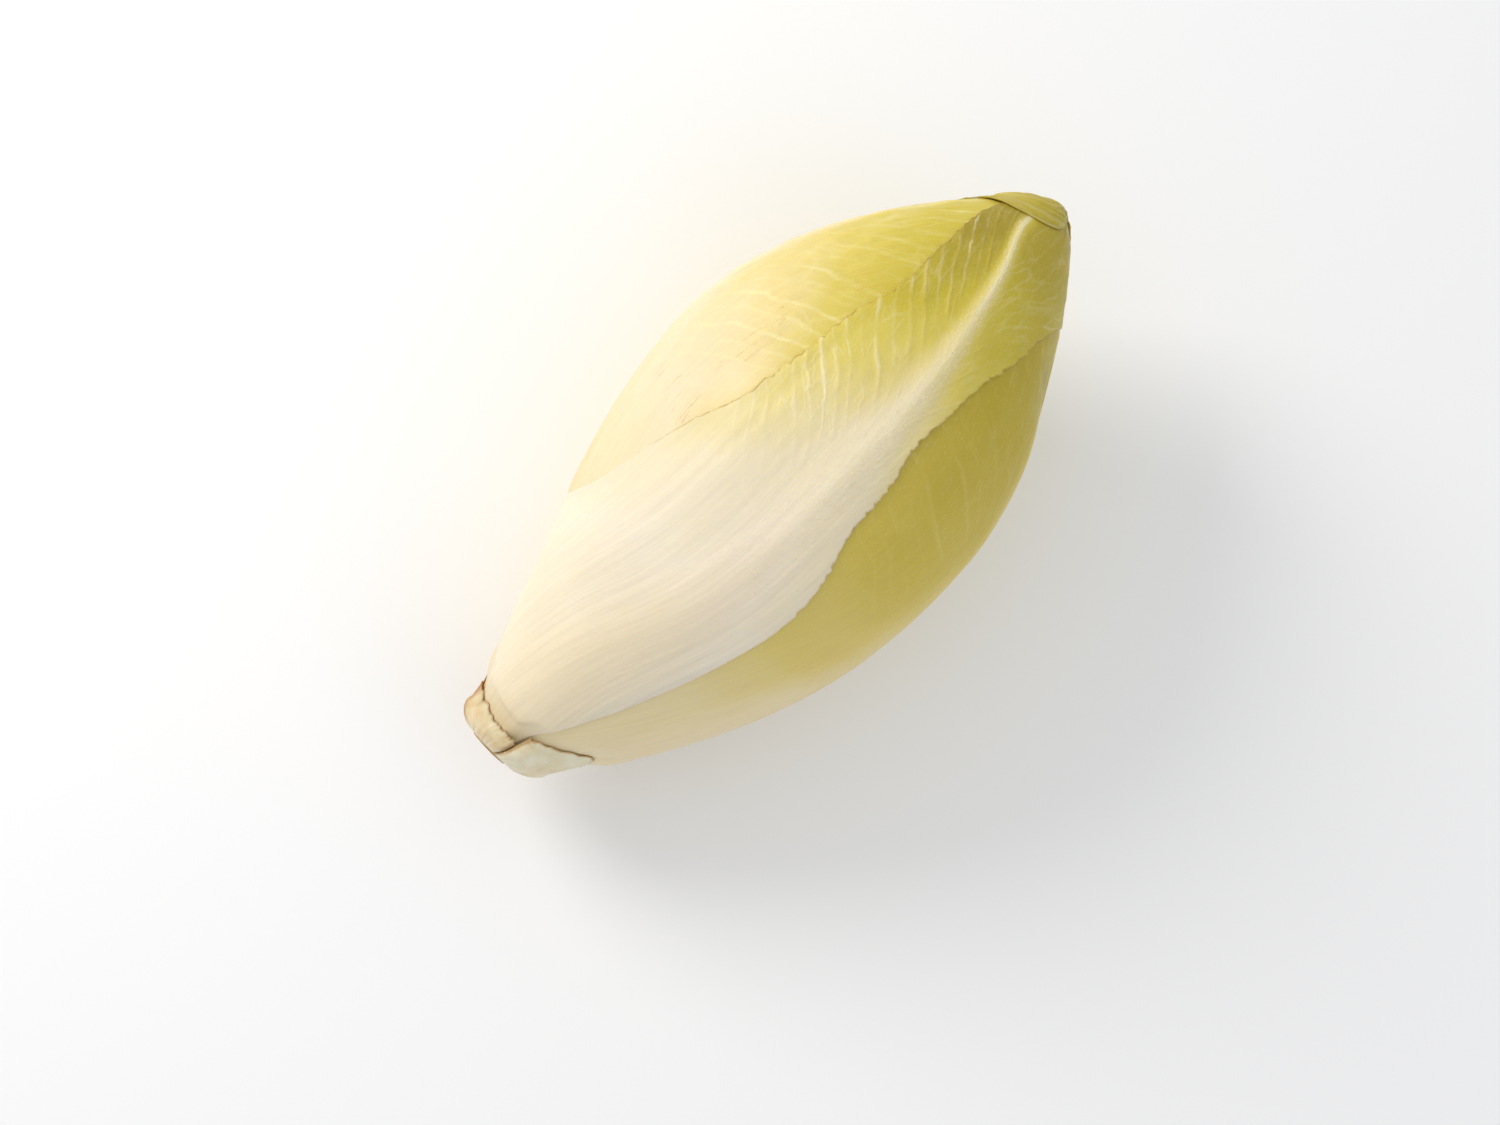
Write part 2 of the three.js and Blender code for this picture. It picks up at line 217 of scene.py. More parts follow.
def leaf_mesh(leaf, covers, across=124, along=320):
    """A leaf as a closed skin: its outer face, its inner face and its rim."""
    bm = bmesh.new()
    bmesh.ops.create_grid(bm, x_segments=across, y_segments=along, size=1)
    thick = bmesh.ops.extrude_face_region(bm, geom=bm.faces[:])["geom"]
    raised = [g for g in thick if isinstance(g, bmesh.types.BMVert)]
    bmesh.ops.translate(bm, verts=raised, vec=(0, 0, 1))
    bmesh.ops.recalc_face_normals(bm, faces=bm.faces[:])
    bm.verts.ensure_lookup_table()

    flat = np.array([v.co[:] for v in bm.verts])
    u, e, outer = -flat[:, 0], (flat[:, 1] + 1) / 2, flat[:, 2] > 0.5
    v = leaf.apex * (0.6 * e + 0.4 * (1 - np.cos(np.pi * e)) / 2)
    t = leaf.base + (leaf.tip - leaf.base) * v
    radius = head_radius(t)
    travel = t * LENGTH

    # The edge wanders, and is unevenly toothed where the side veins reach it.
    side = np.where(u < 0, -1.0, 1.0)
    edge = np.where(u < 0, leaf.low(t), leaf.high(t))
    wave = np.sin(travel / 5.3 + leaf.seed * side) + 0.6 * np.sin(travel / 2.9 + 2 * leaf.seed)
    pace = travel / 3.1 + 1.3 * noise_at(travel / 9, side, 0 * v + leaf.seed)
    saw = pace % 1
    size = np.clip(0.55 + 1.3 * noise_at(np.floor(pace) * 3.7, side, 0 * v + 2 * leaf.seed), 0.1, 1.2)
    teeth = leaf.teeth * size * (np.minimum(saw / 0.82, (1 - saw) / 0.18) - 0.4)
    ragged = (leaf.wave * wave + teeth) * smooth(v, 0.25, 0.5) * (1 - 0.5 * smooth(t, 0.93, 1))
    edge = edge + side * ragged / np.maximum(radius, 5)
    rib = leaf.rib(t)
    a = rib + (edge - rib) * np.abs(u)

    arc = (a - rib) * radius
    half = np.maximum(np.abs(edge - rib) * radius, 0.5)
    inset = half - np.abs(arc)
    field, s = vein_field(leaf, v, arc, half)
    off = np.abs(field - np.round(field))
    vein = np.exp(-((off / 0.15) ** 2)) * (0.55 + 0.45 * np.sin(np.round(field) * 2.4))
    vein *= smooth(s, 0.05, 0.4) * np.where(arc < 0, *leaf.sides)
    vein *= smooth(noise_at(arc / 5, travel / 8, 0 * v + 3 * leaf.seed), -0.35, 0.3)
    rib_width = 7.0 - 5.9 * smooth(v, 0.05, 0.97)
    ridge = np.exp(-((arc / rib_width) ** 2)) * (1 - smooth(v, 0.9, 0.99))
    flank = np.exp(-(((np.abs(arc) - rib_width - 5) / 5) ** 2))
    under = depth_under(covers, t, a)
    free = 1 - smooth(under, 0.02, 0.32)
    rough = noise_at(arc / 3.1, travel / 5.5, 0 * v + 7 * leaf.seed)
    rough += 0.45 * noise_at(arc / 1.5, travel / 2.6, 0 * v + 9 * leaf.seed)
    cords = noise_at(arc / 1.7, travel / 60, 0 * v + 11 * leaf.seed)
    relief = leaf.rib_height * (ridge - 0.2 * flank) * (1 - 0.3 * v)
    relief += leaf.vein_height * vein * (0.15 + 0.85 * smooth(v, 0.35, 0.65))
    relief += leaf.crinkle * rough * (0.12 + 0.88 * smooth(v, 0.35, 0.8))
    relief += 0.11 * cords * (1 - smooth(v, 0.35, 0.8))
    dent = np.hypot((t - 0.82) / 0.045, np.arctan2(np.sin(a + 1.6), np.cos(a + 1.6)) / 0.5)
    relief -= leaf.dent * np.exp(-(dent**2))
    curl = leaf.lift * (0.6 + 0.4 * np.sin(travel / 11 + 3 * leaf.seed)) * (1 - smooth(inset, 0, 3.5))
    relief = relief + curl * smooth(v, 0.15, 0.35)
    top = under - relief * (0.04 + 0.96 * free)
    thick = leaf.thickness(t, a) * (0.3 + 0.7 * smooth(inset, 0, 0.8))
    bottom = np.minimum(under + thick, np.maximum(room(t), under + 0.3))
    points = place(t, a, np.where(outer, top, bottom))

    marks = {
        "arc": arc, "travel": travel, "inset": inset, "field": field,
        "across": s, "along": v, "ridge": ridge,
    }
    return shaped(bm, leaf.name, points, marks)


def shaped(bm, name, points, marks):
    """Moves the vertices to their places, keeps the marks for the finish and returns the mesh."""
    uv = bm.loops.layers.uv.new("UVMap")
    for face in bm.faces:
        face.smooth = True
        for loop in face.loops:
            loop[uv].uv = ((1 - loop.vert.co.x) / 2, (loop.vert.co.y + 1) / 2)
    for key, values in marks.items():
        layer = bm.verts.layers.float.new(key)
        for vert, value in zip(bm.verts, values):
            vert[layer] = value
    for vert, point in zip(bm.verts, points):
        vert.co = point
    mesh = bpy.data.meshes.new(name)
    bm.to_mesh(mesh)
    bm.free()
    return mesh


def add_piece(name, mesh, material, replaced):
    piece = bpy.data.objects.new(name, mesh)
    bpy.context.scene.collection.objects.link(piece)
    mesh.materials.append(material)
    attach(piece, "root")
    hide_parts(replaced)
    return piece


class Nodes:
    """A material's node tree, with one call for each node."""

    def __init__(self, name):
        self.material = bpy.data.materials.new(name)
        self.material.use_nodes = True
        self.tree = self.material.node_tree
        self.shader = self.tree.nodes["Principled BSDF"]

    def add(self, kind, values={}, **settings):
        made = self.tree.nodes.new("ShaderNode" + kind)
        for key, value in settings.items():
            setattr(made, key, value)
        for socket, value in values.items():
            self.put(made.inputs[socket], value)
        return made

    def put(self, socket, value):
        if isinstance(value, bpy.types.NodeSocket):
            self.tree.links.new(value, socket)
        else:
            socket.default_value = value

    def mark(self, name):
        return self.add("Attribute", attribute_name=name).outputs["Fac"]

    def maths(self, operation, a, b=0.5, c=0.5, clamp=False):
        made = self.add("Math", {0: a, 1: b, 2: c}, operation=operation)
        made.use_clamp = clamp
        return made.outputs[0]

    def spread(self, value, low, high, to_low=0.0, to_high=1.0):
        limits = {"Value": value, "From Min": low, "From Max": high, "To Min": to_low, "To Max": to_high}
        return self.add("MapRange", limits, interpolation_type="SMOOTHSTEP").outputs[0]

    def mix(self, factor, a, b, blend="MIX"):
        made = self.add("Mix", data_type="RGBA", blend_type=blend)
        self.put(made.inputs[0], factor)
        self.put(made.inputs[6], a)
        self.put(made.inputs[7], b)
        return made.outputs[2]

    def ramp(self, factor, stops):
        made = self.add("ValToRGB", {0: factor})
        elements = made.color_ramp.elements
        while len(elements) < len(stops):
            elements.new(0.5)
        for element, (at, colour) in zip(elements, stops):
            element.position = at
            element.color = (*colour, 1)
        return made.outputs[0]


def leaf_skin(name, ramp, vein, vein_from=0.4, vein_strength=0.4, veins_at=0.05, sides=(1, 1),
              edge_early=0.1, edge_width=9, brown=0.5, bruised=0.0, rim=0.0, midline=0.2):
    """Waxy chicory leaf: a ramp of colours from root to apex, paler veins, drier brown teeth."""
    n = Nodes(name)
    along, inset, arc, travel = (n.mark(key) for key in ("along", "inset", "arc", "travel"))
    where = n.add("TexCoord").outputs["Object"]
    blotches = n.add("TexNoise", {"Vector": where, "Scale": 60, "Detail": 4}).outputs["Fac"]
    fine = n.add("TexNoise", {"Vector": where, "Scale": 700, "Detail": 4}).outputs["Fac"]
    sheet = n.add("CombineXYZ", {0: arc, 1: travel}).outputs[0]
    long = n.add("Mapping", {"Vector": sheet, "Scale": (1.6, 0.07, 1)}).outputs[0]
    fibres = n.add("TexNoise", {"Vector": long, "Scale": 1, "Detail": 5}).outputs["Fac"]
    clear = n.spread(along, 0.9, 0.975, 1.0, 0.1)
    fibres = n.maths("MULTIPLY_ADD", n.maths("SUBTRACT", fibres, 0.5), clear, 0.5)

    # From the root to the apex, sooner by the edge and later in a band along the rib.
    reach = n.maths("MULTIPLY_ADD", blotches, 0.16, n.maths("ADD", along, -0.08))
    either_side = n.spread(arc, -5, 5, *sides)
    edge = n.maths("MULTIPLY", n.spread(inset, 0, edge_width, edge_early, 0.0), either_side)
    reach = n.maths("ADD", reach, edge)
    wide = n.spread(along, 0.45, 0.9, 13, 3)
    band = n.spread(n.maths("DIVIDE", n.maths("ABSOLUTE", arc), wide), 0.1, 1.0, 1.0, 0.0)
    reach = n.maths("MULTIPLY_ADD", band, -0.11, reach)
    reach = n.maths("MULTIPLY_ADD", n.mark("ridge"), -0.05, reach)
    reach = n.maths("MULTIPLY_ADD", fibres, 0.07, n.maths("ADD", reach, -0.035))
    colour = n.ramp(reach, ramp)

    # Painted shade: browner and darker at the very root, where the bulging root turns away into shade.
    colour = n.mix(n.spread(along, 0.0, 0.055, 0.55, 0.0), colour, (0.60, 0.42, 0.16, 1))
    # Side veins of uneven strength, the branches between them, and the fine net between those.
    field, across = n.mark("field"), n.mark("across")
    off = n.maths("ABSOLUTE", n.maths("SUBTRACT", n.maths("FRACT", n.maths("ADD", field, 0.5)), 0.5))
    pick = n.add("TexWhiteNoise", {"W": n.maths("ROUND", field)}, noise_dimensions="1D").outputs["Value"]
    patchy = n.add("TexNoise", {"Vector": where, "Scale": 150, "Detail": 3}).outputs["Fac"]
    uneven = n.spread(pick, 0.1, 0.9, 0.25, 1.0)
    broken = n.maths("MULTIPLY", n.spread(patchy, 0.34, 0.62, 0.15, 1.0), uneven)
    side_veins = n.maths("MULTIPLY", n.spread(off, 0.0, 0.19, 1.0, 0.0), broken)
    side_veins = n.maths("MULTIPLY", side_veins, n.spread(across, veins_at, veins_at + 0.3))
    side_veins = n.maths("MULTIPLY", side_veins, either_side)
    warp = n.add("TexNoise", {"Vector": where, "Scale": 260, "Detail": 2}).outputs["Color"]
    spread_out = n.maths("MULTIPLY", across, 4.5)
    spun = n.add("CombineXYZ", {0: n.maths("MULTIPLY", field, 0.8), 1: spread_out}).outputs[0]
    bent = n.add("VectorMath", {0: warp, 1: (0.5, 0.5, 0), 2: spun}, operation="MULTIPLY_ADD").outputs[0]
    branches = n.add("TexVoronoi", {"Vector": bent, "Scale": 1}, feature="DISTANCE_TO_EDGE").outputs[0]
    thinned = n.spread(patchy, 0.4, 0.6, 0.1, 0.8)
    branches = n.maths("MULTIPLY", n.spread(branches, 0.0, 0.08, 1.0, 0.0), thinned)
    pulled = n.add("VectorMath", {0: sheet, 1: warp}, operation="ADD").outputs[0]
    cells = n.add("Mapping", {"Vector": pulled, "Scale": (0.6, 0.36, 1)}).outputs[0]
    net = n.add("TexVoronoi", {"Vector": cells, "Scale": 1}, feature="DISTANCE_TO_EDGE").outputs[0]
    net = n.spread(net, 0.0, 0.1, 1.0, 0.0)
    faded = n.spread(along, 0.93, 0.985, 1.0, 0.35)
    shown = n.maths("MULTIPLY", n.spread(along, vein_from, vein_from + 0.25), faded)
    colour = n.mix(n.maths("MULTIPLY", n.maths("MULTIPLY", net, shown), 0.035), colour, (*vein, 1))
    colour = n.mix(n.maths("MULTIPLY", n.maths("MULTIPLY", branches, shown), 0.17), colour, (*vein, 1))
    weight = n.maths("MULTIPLY_ADD", shown, vein_strength, 0.06)
    colour = n.mix(n.maths("MULTIPLY", side_veins, weight), colour, (*vein, 1))
    # The rib is pale too, and narrows to a thin line near the apex.
    line = n.spread(n.maths("ABSOLUTE", arc), 0.2, 0.9, 1.0, 0.0)
    line = n.maths("MULTIPLY", line, n.spread(along, 0.68, 0.86, 0.0, midline))
    line = n.maths("MULTIPLY", line, n.spread(along, 0.955, 0.975, 1.0, 0.0))
    raised = n.maths("MULTIPLY", n.mark("ridge"), shown)
    pale = n.maths("MAXIMUM", line, n.maths("MULTIPLY", raised, 0.3))
    colour = n.mix(pale, colour, (*vein, 1))
    light = n.spread(fibres, 0.25, 0.75, 0.96, 1.03)
    grey = n.add("CombineColor", {0: light, 1: light, 2: light}).outputs[0]
    colour = n.mix(1.0, colour, grey, "MULTIPLY")
    # Small pale specks: faint ones all over are the leaf's own mottling, and the denser ones along the
    # rib are a painted highlight, the glints of its hairs. Where it was knocked, thin red-brown streaks.
    dots = n.add("TexNoise", {"Vector": where, "Scale": 2600, "Detail": 2}).outputs["Fac"]
    specks = n.maths("MULTIPLY_ADD", raised, 0.35, 0.08)
    specks = n.maths("MULTIPLY", specks, n.spread(dots, 0.55, 0.7))
    colour = n.mix(specks, colour, (0.95, 0.92, 0.75, 1))
    streaks = n.add("Mapping", {"Vector": sheet, "Scale": (0.55, 0.045, 1)}).outputs[0]
    cracks = n.add("TexNoise", {"Vector": streaks, "Scale": 1, "Detail": 6}).outputs["Fac"]
    thin = n.spread(n.maths("ABSOLUTE", n.maths("SUBTRACT", cracks, 0.5)), 0.0, 0.012, 1.0, 0.0)
    thin = n.maths("MULTIPLY", thin, n.spread(blotches, 0.5, 0.66, 0.0, bruised))
    middle_part = n.maths("ABSOLUTE", n.maths("SUBTRACT", along, 0.52))
    thin = n.maths("MULTIPLY", thin, n.spread(middle_part, 0.14, 0.34, 1.0, 0.0))
    colour = n.mix(thin, colour, (0.56, 0.28, 0.09, 1))
    # Painted highlight: a thin pale line along the edge, as if its rim caught the light.
    colour = n.mix(n.spread(inset, 0.5, 1.4, rim, 0.0), colour, (*vein, 1))
    # The teeth dry out brown.
    dry = n.maths("MULTIPLY", n.spread(inset, 0.0, 0.6, 1.0, 0.0), n.spread(fine, 0.42, 0.6, 0.3, 1.0))
    dry = n.maths("MULTIPLY", dry, n.spread(along, 0.3, 0.55, 0.0, brown))
    colour = n.mix(dry, colour, (0.30, 0.17, 0.03, 1))
    n.put(n.shader.inputs["Base Color"], colour)

    n.put(n.shader.inputs["Roughness"], n.spread(blotches, 0.3, 0.7, 0.38, 0.52))
    height = n.maths("MULTIPLY_ADD", fibres, 0.35, n.maths("MULTIPLY", fine, 0.25))
    height = n.maths("MULTIPLY_ADD", side_veins, n.maths("MULTIPLY", shown, 0.4), height)
    height = n.maths("MULTIPLY_ADD", branches, n.maths("MULTIPLY", shown, 0.3), height)
    height = n.maths("MULTIPLY_ADD", net, n.maths("MULTIPLY", shown, 0.06), height)
    bump = n.add("Bump", {"Height": height, "Strength": 0.5, "Distance": 0.0003})
    n.put(n.shader.inputs["Normal"], bump.outputs[0])
    n.shader.inputs["Subsurface Weight"].default_value = 0.25
    n.shader.inputs["Subsurface Radius"].default_value = (1.0, 0.8, 0.3)
    n.shader.inputs["Subsurface Scale"].default_value = 0.003
    n.shader.inputs["Specular IOR Level"].default_value = 0.35
    return n.material


back_leaf = Leaf(
    "back_leaf", -0.004, 0.9995,
    [
        (0, 132), (0.05, 122), (0.1, 112), (0.3, 103), (0.6, 101), (0.8, 101),
        (0.9, 97), (0.93, 78), (0.95, 22), (0.968, -22), (0.985, -44), (1, -60),
    ],
    [(0.016, 176), (0.6, 178), (0.8, 174), (0.9, 165), (0.95, 145), (1, 130)],
    [
        (0, 228), (0.05, 236), (0.1, 245), (0.3, 259), (0.6, 262), (0.8, 256),
        (0.9, 247), (0.95, 248), (0.98, 262), (1, 296),
    ],
    apex=1.0, rib_height=0.0, lift=0.0, teeth=1.1, wave=0.5, crinkle=0.5, seed=3.0,
)
stub_left = Leaf(
    "stub_left", -0.028, 0.03, [(0, -12)], [(0, 38)], [(0, 97)],
    top=curve([(-0.3, 0.003), (0.35, 0.004), (0.8, 0.011), (1.6, 0.022)], 1), seed=5.0,
)
stub_back = Leaf(
    "stub_back", -0.028, 0.04, [(0, 99)], [(0, 164)], [(0, 230)],
    top=curve([(1.7, 0.03), (2.6, 0.036), (4.0, 0.032)], 1), seed=6.0,
)
stub_right = Leaf(
    "stub_right", -0.028, 0.062, [(0, -128)], [(0, -75)], [(0, -14)],
    top=curve(
        [(-2.2, 0.03), (-1.6, 0.035), (-1.35, 0.045), (-1.13, 0.06), (-0.6, 0.034), (-0.24, 0.022)], 1,
    ),
    seed=7.0,
)
stubs = [stub_left, stub_back, stub_right]
back_skin = leaf_skin(
    "back_leaf_skin", vein=(0.92, 0.82, 0.50), edge_early=0.1, brown=0.15, rim=0.12,
    ramp=[
        (0.02, (0.80, 0.67, 0.44)), (0.4, (0.84, 0.69, 0.38)), (0.7, (0.76, 0.59, 0.15)),
        (0.86, (0.58, 0.46, 0.05)), (1.0, (0.46, 0.36, 0.03)),
    ],
)
add_piece("back_leaf", leaf_mesh(back_leaf, stubs), back_skin, "outer_leaf_back")


# ---- The broad leaf on top ----
# The widest leaf that shows, with a broad pale rib. It wraps the left side at the root and lies
# over both side leaves; only its apex goes under the curl of the back leaf.
front_leaf = Leaf(
    "front_leaf", -0.004, 0.993,
    [
        (0.016, -12), (0.06, -19), (0.15, -27), (0.4, -32), (0.5, -25), (0.66, -23), (0.8, -36),
        (0.87, -62), (0.895, -94), (0.915, -112), (0.95, -121), (0.985, -124),
    ],
    [(0.016, 14), (0.1, 10), (0.3, -8), (0.53, -11), (0.8, -9), (0.88, -3), (0.985, 20)],
    [
        (0, 62), (0.04, 66), (0.08, 76), (0.2, 93), (0.26, 84), (0.3, 60), (0.4, 41), (0.52, 28),
        (0.74, 22), (0.81, 24), (0.88, 33), (0.95, 56), (0.985, 90),
    ],
    apex=1.0, rib_height=0.8, veins=32, vein_height=0.26, sides=(0.4, 1.0),
    teeth=0.7, wave=0.45, lift=0.3, seed=1.7,
)
front_skin = leaf_skin(
    "front_leaf_skin", vein=(0.90, 0.80, 0.52), vein_from=0.36, vein_strength=0.52, veins_at=0.2,
    sides=(0.3, 1), edge_early=0.09, edge_width=17, brown=0.8, midline=0.65,
    ramp=[
        (0.02, (0.79, 0.68, 0.48)), (0.3, (0.87, 0.76, 0.59)), (0.5, (0.85, 0.72, 0.48)),
        (0.62, (0.79, 0.645, 0.27)), (0.74, (0.71, 0.57, 0.11)), (0.85, (0.58, 0.46, 0.035)),
        (1.0, (0.36, 0.27, 0.012)),
    ],
)
front_mesh = leaf_mesh(front_leaf, stubs + [back_leaf])
add_piece("front_leaf", front_mesh, front_skin, "outer_leaf_front")

# Fine hairs stand on the rib's upper half, leaning to the tip. Their sizes are in metres.
HAIRS, HAIR_LENGTH = 1500, 0.0007
HAIR_ROOT, HAIR_POINT = 0.00004, 0.000008
rng = random.Random(7)
ridge, along = (front_mesh.attributes[key].data for key in ("ridge", "along"))
crest = [
    v for v in front_mesh.vertices
    if ridge[v.index].value > 0.3 and 0.36 < along[v.index].value < 0.95
    and v.normal.dot(v.co - centre) > 0
]
bm = bmesh.new()
for hair in range(HAIRS):
    spot = rng.choice(crest)
    lean = Vector((0.9, rng.uniform(-0.5, 0.5), rng.uniform(-0.2, 0.4))) + 0.9 * spot.normal
    length = HAIR_LENGTH * rng.uniform(0.5, 1.2)
    turned = lean.to_track_quat("Z", "Y").to_matrix().to_4x4()
    side = Vector([rng.uniform(-0.0003, 0.0003) for axis in range(3)])
    there = Matrix.Translation(spot.co + side - 0.0001 * spot.normal + 0.5 * length * lean.normalized())
    bmesh.ops.create_cone(
        bm, cap_ends=True, segments=3, radius1=HAIR_ROOT, radius2=HAIR_POINT, depth=length,
        matrix=there @ turned,
    )
hair_mesh = bpy.data.meshes.new("rib_hairs")
bm.to_mesh(hair_mesh)
bm.free()
fuzz = Nodes("rib_hair")
where = fuzz.add("TexCoord").outputs["Object"]
tint = fuzz.add("TexNoise", {"Vector": where, "Scale": 300}).outputs["Fac"]
pale_hair = fuzz.ramp(tint, [(0.3, (0.95, 0.90, 0.72)), (0.7, (0.88, 0.80, 0.50))])
fuzz.put(fuzz.shader.inputs["Base Color"], pale_hair)
fuzz.put(fuzz.shader.inputs["Roughness"], fuzz.spread(tint, 0.3, 0.7, 0.4, 0.6))
lit = fuzz.add("Bump", {"Height": tint, "Strength": 0.1, "Distance": 0.0001})
fuzz.put(fuzz.shader.inputs["Normal"], lit.outputs[0])
fuzz.shader.inputs["Subsurface Weight"].default_value = 0.3
fuzz.shader.inputs["Subsurface Scale"].default_value = 0.001
add_piece("rib_hairs", hair_mesh, fuzz.material, "outer_leaf_front")


# ---- The side leaves ----
# One leaf to each side, tucked under the edges of the top leaf and of the back leaf.
left_leaf = Leaf(
    "left_leaf", 0.0, 0.975,
    [(0, 52), (0.05, 50), (0.1, 46), (0.3, 18), (0.5, 3), (0.75, 0), (0.9, 8), (1, 20)],
    [(0.016, 90), (0.6, 80), (0.9, 72), (1, 62)],
    [(0, 148), (0.05, 140), (0.1, 134), (0.3, 136), (0.6, 140), (0.8, 136), (0.92, 126), (1, 108)],
    rib_height=0.25, veins=27, vein_height=0.17, crinkle=0.36, seed=2.3,
)
left_skin = leaf_skin(
    "left_leaf_skin", vein=(0.92, 0.82, 0.42), vein_from=0.42, vein_strength=0.4, sides=(1, 0.4),
    edge_early=0.32, edge_width=29, bruised=0.65,
    ramp=[
        (0.02, (0.74, 0.60, 0.33)), (0.3, (0.83, 0.67, 0.40)), (0.5, (0.87, 0.68, 0.45)),
        (0.64, (0.82, 0.64, 0.29)), (0.78, (0.72, 0.565, 0.11)), (1.0, (0.62, 0.49, 0.05)),
    ],
)
wraps = stubs + [back_leaf, front_leaf]
add_piece("left_leaf", leaf_mesh(left_leaf, wraps), left_skin, "outer_leaf_left")

right_leaf = Leaf(
    "right_leaf", -0.002, 0.92,
    [(0, -150), (0.05, -142), (0.1, -136), (0.3, -138), (0.6, -142), (0.8, -138), (0.93, -120)],
    [(0.016, -74), (0.3, -72), (0.6, -78), (0.8, -80), (0.93, -82)],
    [(0, 4), (0.05, 0), (0.1, -4), (0.3, -6), (0.6, -2), (0.8, -14), (0.93, -44)],
    rib_height=0.3, veins=26, vein_height=0.1, crinkle=0.16, dent=1.0, seed=4.1,
)
# Painted shade in part: this leaf lies on the shaded side. Its colours and its veins are darker than the
# other leaves' partly as painted shade; the rest is its own olive yellow.
right_skin = leaf_skin(
    "right_leaf_skin", vein=(0.72, 0.57, 0.16), vein_from=0.3, vein_strength=0.2,
    edge_early=0.05, bruised=0.4,
    ramp=[
        (0.02, (0.80, 0.67, 0.42)), (0.2, (0.80, 0.66, 0.36)), (0.36, (0.72, 0.57, 0.17)),
        (0.55, (0.62, 0.48, 0.07)), (0.8, (0.50, 0.38, 0.02)), (1.0, (0.42, 0.32, 0.015)),
    ],
)
add_piece("right_leaf", leaf_mesh(right_leaf, wraps), right_skin, "outer_leaf_right")


# ---- The trimmed stubs ----
# Roots of outer leaves that were cut away when the head was cleaned. They ring the cut, with
# torn, browned edges.
def stub_mesh(stub, across=110, along=26):
    bm = bmesh.new()
    bmesh.ops.create_grid(bm, x_segments=across, y_segments=along, size=1)
    thick = bmesh.ops.extrude_face_region(bm, geom=bm.faces[:])["geom"]
    raised = [g for g in thick if isinstance(g, bmesh.types.BMVert)]
    bmesh.ops.translate(bm, verts=raised, vec=(0, 0, 1))
    bmesh.ops.recalc_face_normals(bm, faces=bm.faces[:])
    flat = np.array([v.co[:] for v in bm.verts])
    u, v, outer = -flat[:, 0], (flat[:, 1] + 1) / 2, flat[:, 2] > 0.5
    a = stub.rib(v) + (np.where(u < 0, stub.low(v), stub.high(v)) - stub.rib(v)) * np.abs(u)
    torn = noise_at(a * 6, 0 * u, 0 * u + stub.seed) + 0.5 * noise_at(a * 19, 0 * u, 0 * u + stub.seed)
    end = stub.top(a) + 0.005 * torn
    t = stub.base + (end - stub.base) * v
    wrinkle = 0.22 * noise_at(a * 9, v * 1.2, 0 * u + stub.seed)
    wrinkle += 0.08 * noise_at(a * 40, v * 5, 0 * u + stub.seed)
    sunk = 0.6 * smooth(v, 0.3, 1) + 0.3 * (1 - smooth(1 - np.abs(u), 0, 0.1)) - wrinkle * (1 - 0.7 * v)
    depth = np.where(outer, np.clip(sunk, -0.1, STUB_THICKNESS - 0.2), STUB_THICKNESS - 0.05)
    marks = {"inset": np.minimum((end - t) * LENGTH, (1 - np.abs(u)) * 8), "around": a, "along": v}
    return shaped(bm, stub.name, place(t, a, depth), marks)


def cut_tissue(name, flesh, bark, brown, tan_from=9.0):
    """Cut chicory root: creamy flesh that has dried tan, and brown along its torn edges."""
    n = Nodes(name)
    where = n.add("TexCoord").outputs["Object"]
    patches = n.add("TexNoise", {"Vector": where, "Scale": 240, "Detail": 5}).outputs["Fac"]
    fine = n.add("TexNoise", {"Vector": where, "Scale": 1100, "Detail": 5}).outputs["Fac"]
    turned = n.spread(n.mark("around"), tan_from - 1.1, tan_from, 0.0, 0.45)
    colour = n.ramp(n.maths("ADD", patches, turned), [(0.35, flesh), (0.62, bark), (0.95, brown)])
    edge = n.maths("MULTIPLY_ADD", patches, -1.1, n.maths("ADD", n.mark("inset"), 0.55))
    dried = n.maths("MULTIPLY", n.spread(edge, 0.0, 0.7, 0.85, 0.0), n.spread(fine, 0.25, 0.5, 0.6, 1.0))
    colour = n.mix(dried, colour, (*brown, 1))
    n.put(n.shader.inputs["Base Color"], colour)
    n.put(n.shader.inputs["Roughness"], n.spread(fine, 0.3, 0.7, 0.5, 0.72))
    height = n.maths("MULTIPLY_ADD", patches, 0.6, n.maths("MULTIPLY", fine, 0.4))
    bump = n.add("Bump", {"Height": height, "Strength": 0.6, "Distance": 0.0005})
    n.put(n.shader.inputs["Normal"], bump.outputs[0])
    n.shader.inputs["Subsurface Weight"].default_value = 0.15
    n.shader.inputs["Subsurface Scale"].default_value = 0.003
    return n.material


tan = cut_tissue(
    "trimmed_stub_skin", (0.80, 0.68, 0.46), (0.68, 0.52, 0.29), (0.40, 0.22, 0.08), tan_from=1.7,
)
pale = cut_tissue("pale_scar_skin", (0.84, 0.76, 0.58), (0.76, 0.64, 0.42), (0.48, 0.27, 0.08))
add_piece("stub_left", stub_mesh(stub_left), tan, "trimmed_leaf_stub_left")
add_piece("stub_back", stub_mesh(stub_back), tan, "trimmed_leaf_stub_back")
add_piece("stub_right", stub_mesh(stub_right), pale, "trimmed_leaf_stub_right")


